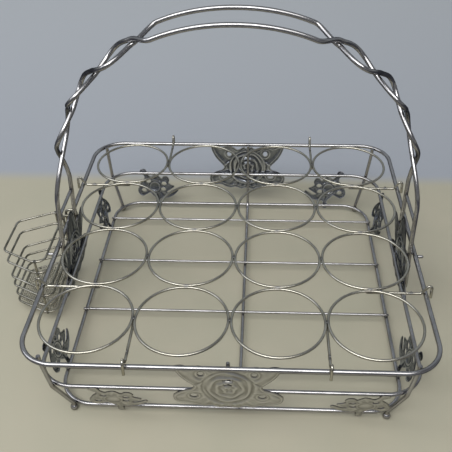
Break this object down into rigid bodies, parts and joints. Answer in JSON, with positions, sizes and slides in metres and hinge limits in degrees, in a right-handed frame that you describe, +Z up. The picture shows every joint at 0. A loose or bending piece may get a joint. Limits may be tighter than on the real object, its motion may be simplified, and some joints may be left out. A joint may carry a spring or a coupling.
{
  "type": "water cup rack",
  "caption": "Square wire rack for water cups with stamped flower plates, a crossed-wire carrying handle, a lift-off ring grid and a hang-on basket.",
  "frame": {"origin": "middle of the whole part's footprint, on the table under the feet", "axes": "+Z up; +X from the basket side to the other handle leg; the handle runs along X; the front faces -Y"},
  "size_m": [0.3869, 0.3396, 0.2884],
  "materials": {
    "bright_wire": "polished stainless steel wire",
    "ring_wire": "polished stainless steel wire",
    "stamped_plate": "stamped sheet, satin",
    "basket_wire": "drawn wire, dull"
  },
  "bodies": {
    "frame": {"rim_frame": "bright_wire", "middle_frame": "bright_wire", "base_frame": "bright_wire", "corner_strut_front_left": "bright_wire", "corner_strut_front_right": "bright_wire", "corner_strut_rear_left": "bright_wire", "corner_strut_rear_right": "bright_wire", "floor_wire_1": "bright_wire", "floor_wire_2": "bright_wire", "floor_wire_3": "bright_wire", "floor_wire_4": "bright_wire", "centre_wire": "bright_wire", "front_upright": "bright_wire", "handle_wire_front": "bright_wire", "handle_wire_rear": "bright_wire", "handle_crossbar_left": "bright_wire", "handle_crossbar_right": "bright_wire", "side_peg_left": "bright_wire", "side_peg_right": "bright_wire", "flower_plate_front": "stamped_plate", "flower_plate_rear": "stamped_plate", "flower_plate_left": "stamped_plate", "flower_plate_right": "stamped_plate", "leaf_plate_front_1": "stamped_plate", "leaf_plate_front_2": "stamped_plate", "leaf_plate_rear_1": "stamped_plate", "leaf_plate_rear_2": "stamped_plate", "leaf_plate_left_1": "stamped_plate", "leaf_plate_left_2": "stamped_plate", "leaf_plate_right_1": "stamped_plate", "leaf_plate_right_2": "stamped_plate"},
    "ring_grid": {"cup_ring_11": "ring_wire", "cup_ring_12": "ring_wire", "cup_ring_13": "ring_wire", "cup_ring_14": "ring_wire", "cup_ring_21": "ring_wire", "cup_ring_22": "ring_wire", "cup_ring_23": "ring_wire", "cup_ring_24": "ring_wire", "cup_ring_31": "ring_wire", "cup_ring_32": "ring_wire", "cup_ring_33": "ring_wire", "cup_ring_34": "ring_wire", "cup_ring_41": "ring_wire", "cup_ring_42": "ring_wire", "cup_ring_43": "ring_wire", "cup_ring_44": "ring_wire", "rim_hook_front_1": "ring_wire", "rim_hook_front_2": "ring_wire", "rim_hook_rear_1": "ring_wire", "rim_hook_rear_2": "ring_wire", "rim_hook_left_1": "ring_wire", "rim_hook_left_2": "ring_wire", "rim_hook_right_1": "ring_wire", "rim_hook_right_2": "ring_wire"},
    "basket": {"basket_cage": "basket_wire", "basket_floor": "basket_wire", "basket_hanger_front": "basket_wire", "basket_hanger_rear": "basket_wire"}
  },
  "joints": [
    {"name": "ring_grid_lift", "type": "slide", "parent": "frame", "child": "ring_grid", "axis": [0, 0, 1], "range_m": [0, 0.05]},
    {"name": "basket_lift", "type": "slide", "parent": "frame", "child": "basket", "axis": [0, 0, 1], "range_m": [0, 0.02]}
  ]
}
